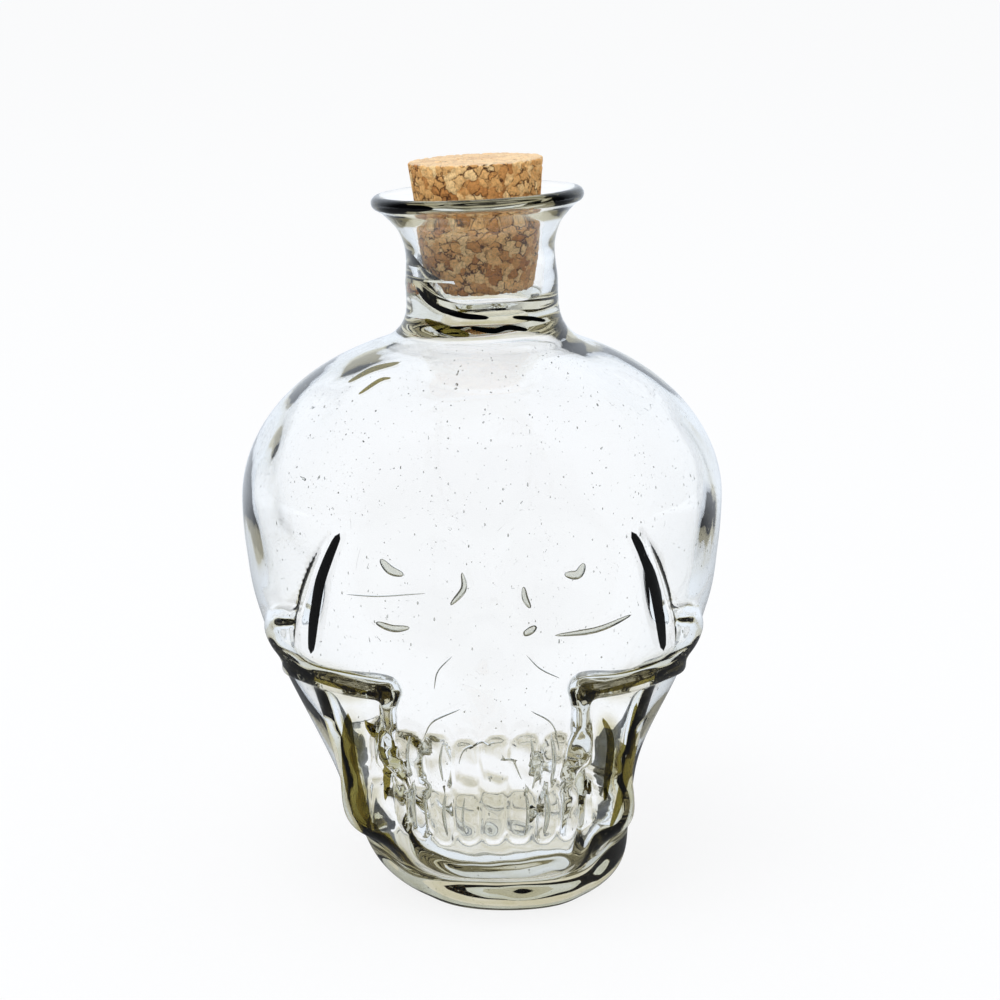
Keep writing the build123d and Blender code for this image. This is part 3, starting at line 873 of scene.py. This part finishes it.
def cork_material(settings):
    made, tree = material("agglomerated_cork")
    place = result(tree, "ShaderNodeTexCoord", output="Object")
    links = {"Vector": place, "Granule": settings.granule}
    grain = put(tree, "ShaderNodeGroup", links, node_tree=grain_group()).outputs
    mottled = ranged(tree, grain["Pores"], 0.32, 0.6, 0.55, 1.08)
    granules = colour_ramp(tree, grain["Kind"], CORK_TONES)
    colour = vector_reckon(tree, "SCALE", {0: granules, 3: mottled})
    colour = blended(tree, grain["Gap"], colour, CORK_GAP_COLOUR)
    # Painted light: faces that look up are blended towards a paler colour, as if lit from above
    facing = result(tree, "ShaderNodeNewGeometry", output="Normal")
    upward = result(tree, "ShaderNodeSeparateXYZ", {0: facing}, 2)
    painted_top_light = ranged(tree, upward, 0.5, 0.9, 0.0, 0.6)
    colour = blended(tree, painted_top_light, colour, CORK_PAINTED_TOP_LIGHT)
    links = {"Base Color": colour, "Roughness": 0.85, "Specular IOR Level": 0.25}
    links["Normal"] = bump(tree, grain["Pores"], 0.5, 0.0003)
    return surfaced(made, tree, result(tree, "ShaderNodeBsdfPrincipled", links))


def studio_colour(tree, tone, place, settings, gloss_reach, side_reach):
    """The studio's colour where a ray ends, with the reaches in which it brightens along Y."""
    light = put(tree, "ShaderNodeLightPath").outputs
    along = result(tree, "ShaderNodeSeparateXYZ", {0: place}, 1)
    links = {
        "Reflections": light["Glossy Depth"],
        "Passes": light["Transmission Depth"],
        "Scatterings": light["Diffuse Depth"],
        "Gloss": ranged(tree, along, *gloss_reach, GLOSS_LEAST, 1.0, smooth=True),
        "Side": ranged(tree, along, *side_reach, SIDE_LEAST, 1.0, smooth=True),
        "Ambient": settings.ambient,
    }
    return result(tree, "ShaderNodeGroup", links, node_tree=tone)


def floor_material(settings, tone):
    made, tree = material("pale_floor")
    place = result(tree, "ShaderNodeTexCoord", output="Object")
    colour = studio_colour(tree, tone, place, settings, (0.11, 0.6), (-0.6, 0.0))
    glow = result(tree, "ShaderNodeEmission", {"Color": colour, "Strength": 1.0})
    matt = result(tree, "ShaderNodeBsdfDiffuse", {"Color": (*settings.floor_colour, 1)})
    links = {0: settings.floor_glow, 1: matt, 2: glow}
    return surfaced(made, tree, result(tree, "ShaderNodeMixShader", links))


def studio_world(settings, tone):
    world, tree = emptied(bpy.data.worlds.new("soft_white_studio"))
    way = result(tree, "ShaderNodeTexCoord", output="Generated")
    colour = studio_colour(tree, tone, way, settings, (0.2, 0.85), (-0.8, 0.3))
    glow = result(tree, "ShaderNodeBackground", {"Color": colour, "Strength": 1.0})
    put(tree, "ShaderNodeOutputWorld", {"Surface": glow})
    return world


def number(name, description, default, **more):
    """A setting that is a plain number."""
    return bpy.props.FloatProperty(name=name, description=description, default=default, **more)


def length(name, description, default):
    """A setting in metres."""
    return number(name, description, default, unit="LENGTH")


def shade(name, description, default):
    """A setting that is a colour."""
    return bpy.props.FloatVectorProperty(
        name=name, description=description, default=default, size=3, subtype="COLOR"
    )


class GlassSettings(bpy.types.PropertyGroup):
    wall: length("Wall", "Glass thickness of the jaw", 0.0040)
    inner_softness: length(
        "Inner Softness", "How much rounder the inside is than the outside", 0.0012
    )
    waviness: length("Waviness", "Unevenness of the hand-worked glass", 0.0003)
    tooth_stand: length("Tooth Stand", "How far the teeth stand out", 0.0016)
    ring_weight: number("Neck Ring", "Weight of the thick ring inside the neck", 1.0)
    clear: shade("Clear", "Colour of the thin glass", (0.980, 0.986, 0.996))
    cast: shade("Cast", "Olive cast of the thick places", (0.46, 0.40, 0.13))
    tint: shade("Tint", "Colour of the glass where it is thick", (0.52, 0.48, 0.25))
    tint_density: number("Tint Density", "How fast the tint builds up, per metre", 8.0)


class SeedSettings(bpy.types.PropertyGroup):
    density: number("Density", "Seeds on each square metre of skin", 65000.0)
    smallest: length("Smallest", "Radius of the smallest seeds", 0.00007)
    largest: length("Largest", "Radius of the largest seeds", 0.00026)
    shallowest: length("Shallowest", "Least depth under the skin", 0.0008)
    deepest: length("Deepest", "Greatest depth under the skin", 0.0022)
    seed: bpy.props.IntProperty(
        name="Seed", description="Number that fixes the pattern", default=7
    )


class MarkSettings(bpy.types.PropertyGroup):
    # The folds this sets are painted shade, near-black slivers; the same thickness serves the
    # olive cords
    shade_and_cord_depth: length("Shade And Cord Depth", "Half thickness of the folds and cords", 0.0006)
    mark_depth: length("Mark Depth", "Half thickness of the face's marks", 0.0007)
    sunk: length("Sunk", "How deep all of them lie under the skin", 0.0017)


class CorkSettings(bpy.types.PropertyGroup):
    granule: length("Granule", "Width of a cork granule", 0.0024)
    gap_depth: length("Gap Depth", "Depth of the gaps between granules", 0.00035)


class StageSettings(bpy.types.PropertyGroup):
    ambient: number("Ambient", "Brightness of the studio on matt surfaces", 0.85)
    floor_colour: shade("Floor", "Colour of the floor", (0.84, 0.87, 0.92))
    floor_glow: number(
        "Floor Glow", "Share of the floor that is plain white", 0.84, subtype="FACTOR"
    )
    lamp_power: number("Lamp Power", "Power of the soft lamp overhead", 34.0, unit="POWER")


class SKULL_OT_glass(bpy.types.Operator):
    """Moulds the glass of the bottle, outside, mouth and inside, as one closed piece"""

    bl_idname = "skull_bottle.glass"
    bl_label = "Mould Glass"

    def execute(self, context):
        settings = context.scene.skull_glass
        outer, inner = outer_skin(settings), inner_skin(settings)
        turns = azimuths(COLUMNS)
        levels = even_levels(outer, 0.0, MOUTH_LEVEL + 0.001, SKIN_ROWS)
        skin = [skin_ring(outer, z, turns) for z in levels]
        foot, foot_pole = under_foot(turns, skin[0])
        mouth = mouth_rings(turns, settings)
        neck_inside = neck_ring_rows(turns[::2], settings)
        depths = even_levels(inner, FLOOR_LEVEL, HOLLOW_TOP, HOLLOW_ROWS)[::-1]
        hollow = [skin_ring(inner, z, turns) for z in depths]
        floor, floor_pole = over_floor(hollow[-1])
        rings = foot + skin + mouth + neck_inside + hollow + floor
        finish = glass_material(settings)
        made = mesh_object("skull_glass", *shell_of_rings(rings, foot_pole, floor_pole), finish)
        seeded = skin[SEEDED_ROWS]
        poles = seeded[0].mean(axis=0), seeded[-1].mean(axis=0)
        points, faces = shell_of_rings(seeded, *poles)
        carrier = mesh_object("seed_carrier", points, faces[: -2 * len(turns)], finish)
        carrier.hide_render = True
        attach(made, "bottle")
        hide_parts("glass_bottle")
        return {"FINISHED"}


def chance(tree, low, high, seed):
    """A number between two others, by chance."""
    links = {2: low, 3: high, 8: seed}
    return result(tree, "FunctionNodeRandomValue", links, 1, data_type="FLOAT")


def end_group(tree, geometry, finish):
    """Ends a tree with real geometry in its material."""
    real = result(tree, "GeometryNodeRealizeInstances", {"Geometry": geometry})
    smooth = result(tree, "GeometryNodeSetShadeSmooth", {"Geometry": real})
    links = {"Geometry": smooth, "Material": finish}
    put(tree, "NodeGroupOutput", {0: result(tree, "GeometryNodeSetMaterial", links)})
    return tree


def seed_tree(finish):
    """Small stretched balls at chance places and depths under a skin."""
    floats = [("Density", 1.0), ("Smallest", 0.0001), ("Largest", 0.0003)]
    floats += [("Shallowest", 0.001), ("Deepest", 0.002)]
    inputs = [("Skin", "Geometry", None)] + [(label, "Float", value) for label, value in floats]
    tree, given = new_group(
        "seeds_in_skin", "GeometryNodeTree", inputs + [("Seed", "Int", 0)], [("Seeds", "Geometry")]
    )
    links = {"Mesh": given["Skin"], "Density": given["Density"], "Seed": given["Seed"]}
    spread = put(tree, "GeometryNodeDistributePointsOnFaces", links).outputs
    depth = chance(tree, given["Shallowest"], given["Deepest"], given["Seed"])
    inward = reckon(tree, "MULTIPLY", depth, -1.0)
    offset = vector_reckon(tree, "SCALE", {0: spread["Normal"], 3: inward})
    links = {"Geometry": spread["Points"], "Offset": offset}
    sunk = result(tree, "GeometryNodeSetPosition", links)
    rare = reckon(tree, "POWER", chance(tree, 0.0, 1.0, 3), 3.0)
    size = ranged(tree, rare, 0.0, 1.0, given["Smallest"], given["Largest"])
    links = {0: (0.7, 0.7, 0.8), 1: (1.1, 1.1, 2.2), 8: 5}
    shape = result(tree, "FunctionNodeRandomValue", links, data_type="FLOAT_VECTOR")
    links = {"Segments": 6, "Rings": 4, "Radius": 1.0}
    ball = result(tree, "GeometryNodeMeshUVSphere", links, "Mesh")
    scale = vector_reckon(tree, "SCALE", {0: shape, 3: size})
    links = {"Points": sunk, "Instance": ball, "Scale": scale}
    return end_group(tree, result(tree, "GeometryNodeInstanceOnPoints", links), finish)


def grown(carrier, tree, values, name):
    """The carrier with a node tree at work on it, made a plain mesh object."""
    modifier = carrier.modifiers.new(name, "NODES")
    modifier.node_group = tree
    for item in tree.interface.items_tree:
        if item.item_type == "SOCKET" and item.in_out == "INPUT" and item.name in values:
            modifier[item.identifier] = values[item.name]
    graph = bpy.context.evaluated_depsgraph_get()
    mesh = bpy.data.meshes.new_from_object(carrier.evaluated_get(graph))
    mesh.name = name
    made = bpy.data.objects.new(name, mesh)
    bpy.context.scene.collection.objects.link(made)
    bpy.data.objects.remove(carrier)
    return made


class SKULL_OT_seeds(bpy.types.Operator):
    """Scatters small seeds through the glass, just under its skin"""

    bl_idname = "skull_bottle.seeds"
    bl_label = "Scatter Seeds"

    def execute(self, context):
        settings = context.scene.skull_seeds
        carrier = bpy.data.objects["seed_carrier"]
        tree = seed_tree(hollow_material("seed_in_glass", (0.75, 0.77, 0.74), AIR_INDEX))
        labels = ("Density", "Smallest", "Largest", "Shallowest", "Deepest", "Seed")
        values = {label: getattr(settings, label.lower()) for label in labels}
        made = grown(carrier, tree, values, "glass_seeds")
        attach(made, "bottle")
        return {"FINISHED"}


class SKULL_OT_marks(bpy.types.Operator):
    """Lays the painted shade as near-black slivers at the temples, neck root and lip, the olive
    cords and the small marks in the face
    """

    bl_idname = "skull_bottle.marks"
    bl_label = "Lay Marks"

    def execute(self, context):
        settings = context.scene.skull_marks
        field = outer_skin(context.scene.skull_glass)
        # Painted shade: a near-black see-through fill for the slivers where the glass only looks
        # dark
        dark = hollow_material("painted_shade_fill", (0.00002, 0.00002, 0.00002), 1.0)
        olive = hollow_material("olive_cord", (0.23, 0.19, 0.045), 1.0)
        pale = hollow_material("blister_in_glass", (0.70, 0.71, 0.65), AIR_INDEX)
        kinds = (
            ("painted_shade_slivers", SHADE_SLIVER_ROUTES, settings.shade_and_cord_depth, 0.3, dark),
            ("olive_cords", OLIVE_CORDS, settings.shade_and_cord_depth, 0.5, olive),
            ("face_marks", FACE_MARKS, settings.mark_depth, 0.5, pale),
        )
        for name, table, depth, taper, finish in kinds:
            shells = [
                sliver(field, np.array(route) * MM, half * MM, depth, settings.sunk, taper)
                for half, *route in table
            ]
            if table is SHADE_SLIVER_ROUTES:
                shells += [lip_sliver(*row) for row in LIP_SHADE_SLIVERS]
            made = slivers_object(name, shells, finish)
            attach(made, "bottle")
        return {"FINISHED"}


def cork_radius(rise):
    """The tapered cork's radius, which meets the throat with the seat's gap."""
    return THROAT_RADIUS - SEAT_GAP + (rise - THROAT_RISE) * CORK_TAPER / CORK_HEIGHT


def cork_rings(turns):
    """The cork's rings about the mouth's axis, with one chip and a worn edge at its foot."""
    low, high = CORK_FOOT, CORK_FOOT + CORK_HEIGHT
    chip = CHIP_DEPTH * swell(turns, CHIP_TURN, CHIP_SPREAD)
    worn = WORN_DEPTH * (1 + np.sin(7 * turns + 1.0) * np.sin(11 * turns))
    foot, top = cork_radius(low) - CORK_EDGE - worn - chip, cork_radius(high) - CORK_EDGE
    rings = [mouth_ring(turns, foot * share, low) for share in np.linspace(0.03, 1, 36)]
    for rise in np.linspace(low + CORK_EDGE, high - CORK_EDGE, 88):
        lost = chip * swell(rise, low, CHIP_RISE) + worn * swell(rise, low, WORN_RISE)
        rings.append(mouth_ring(turns, cork_radius(rise) - lost, rise))
    rings += [mouth_ring(turns, top * share, high) for share in np.linspace(1, 0.03, 38)]
    return rings, mouth_ring(turns, 0.0, low)[0], mouth_ring(turns, 0.0, high)[0]


def cork_tree(finish):
    """Sinks the gaps between the granules and the places of granules that fell out."""
    tree, given = new_group(
        "cork_relief",
        "GeometryNodeTree",
        [("Cork", "Geometry", None), ("Granule", "Float", 0.0024), ("Gap Depth", "Float", 0.0003)],
        [("Cork", "Geometry")],
    )
    place = result(tree, "GeometryNodeInputPosition")
    cells, edges = grain_nodes(tree, place, given["Granule"])
    gap = ranged(tree, edges, 0.0, 0.16, 1.0, 0.0, smooth=True)
    kind = result(tree, "ShaderNodeSeparateXYZ", {0: cells}, 1)
    missing = reckon(tree, "GREATER_THAN", kind, 0.93)
    chipped = reckon(tree, "MULTIPLY_ADD", missing, 1.4, gap)
    depth = reckon(tree, "MULTIPLY", chipped, given["Gap Depth"])
    inward = reckon(tree, "MULTIPLY", depth, -1.0)
    normal = result(tree, "GeometryNodeInputNormal")
    offset = vector_reckon(tree, "SCALE", {0: normal, 3: inward})
    links = {"Geometry": given["Cork"], "Offset": offset}
    return end_group(tree, result(tree, "GeometryNodeSetPosition", links), finish)


class SKULL_OT_cork(bpy.types.Operator):
    """Turns the tapered cork and gives it its granules, gaps and chips"""

    bl_idname = "skull_bottle.cork"
    bl_label = "Turn Cork"

    def execute(self, context):
        settings = context.scene.skull_cork
        turns = np.linspace(0, 2 * np.pi, CORK_COLUMNS, endpoint=False)
        points, faces = shell_of_rings(*cork_rings(turns))
        finish = cork_material(settings)
        carrier = mesh_object("cork_carrier", points, faces, finish)
        values = {"Granule": settings.granule, "Gap Depth": settings.gap_depth}
        made = grown(carrier, cork_tree(finish), values, "cork_surface")
        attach(made, "stopper")
        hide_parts("cork_stopper")
        return {"FINISHED"}


class SKULL_OT_stage(bpy.types.Operator):
    """Sets the pale floor, the soft light and the camera"""

    bl_idname = "skull_bottle.stage"
    bl_label = "Set Stage"

    def execute(self, context):
        settings = context.scene.skull_stage
        scene = context.scene
        tone = tone_group()
        scene.world = studio_world(settings, tone)
        corners = [(-1, -1), (1, -1), (1, 1), (-1, 1)]
        places = [(x * FLOOR_REACH, y * FLOOR_REACH, -FLOOR_DROP) for x, y in corners]
        floor = mesh_object("floor", places, [(0, 1, 2, 3)], floor_material(settings, tone))
        lamp = bpy.data.lights.new("overhead_softbox", "AREA")
        lamp.shape, lamp.size, lamp.energy = "DISK", LAMP_WIDTH, settings.lamp_power
        hung = bpy.data.objects.new("overhead_softbox", lamp)
        hung.location, hung.rotation_euler = LAMP_PLACE, LAMP_TURN
        hung.visible_glossy = hung.visible_transmission = False
        scene.collection.objects.link(hung)
        camera = bpy.data.objects.new("camera", bpy.data.cameras.new("camera"))
        camera.data.lens, camera.data.sensor_width = CAMERA_LENS, CAMERA_SENSOR
        camera.data.clip_start, camera.data.clip_end = CAMERA_CLIP
        camera.location, camera.rotation_euler = CAMERA_PLACE, (CAMERA_TILT, 0, 0)
        scene.collection.objects.link(camera)
        scene.camera = camera
        scene.view_settings.view_transform = "Standard"
        scene.cycles.max_bounces = scene.cycles.transmission_bounces = MOST_BOUNCES
        scene.cycles.glossy_bounces = GLOSSY_BOUNCES
        return {"FINISHED"}


class SKULL_PT_panel(bpy.types.Panel):
    """Lists the bottle's pieces and their settings"""

    bl_idname = "SKULL_PT_panel"
    bl_label = "Skull Bottle"
    bl_space_type = "VIEW_3D"
    bl_region_type = "UI"
    bl_category = "Skull Bottle"

    def draw(self, context):
        for owner, (group, operator) in SECTIONS.items():
            box = self.layout.box()
            box.operator(operator.bl_idname)
            for name in group.__annotations__:
                box.prop(getattr(context.scene, owner), name)


SECTIONS = {
    "skull_glass": (GlassSettings, SKULL_OT_glass),
    "skull_seeds": (SeedSettings, SKULL_OT_seeds),
    "skull_marks": (MarkSettings, SKULL_OT_marks),
    "skull_cork": (CorkSettings, SKULL_OT_cork),
    "skull_stage": (StageSettings, SKULL_OT_stage),
}


def register():
    for name, (group, operator) in SECTIONS.items():
        bpy.utils.register_class(group)
        setattr(bpy.types.Scene, name, bpy.props.PointerProperty(type=group))
        bpy.utils.register_class(operator)
    bpy.utils.register_class(SKULL_PT_panel)


def unregister():
    bpy.utils.unregister_class(SKULL_PT_panel)
    for name, (group, operator) in reversed(SECTIONS.items()):
        bpy.utils.unregister_class(operator)
        delattr(bpy.types.Scene, name)
        bpy.utils.unregister_class(group)


def main():
    register()
    bpy.ops.skull_bottle.glass()
    bpy.ops.skull_bottle.seeds()
    bpy.ops.skull_bottle.marks()
    bpy.ops.skull_bottle.cork()
    bpy.ops.skull_bottle.stage()


if __name__ == "__main__":
    main()
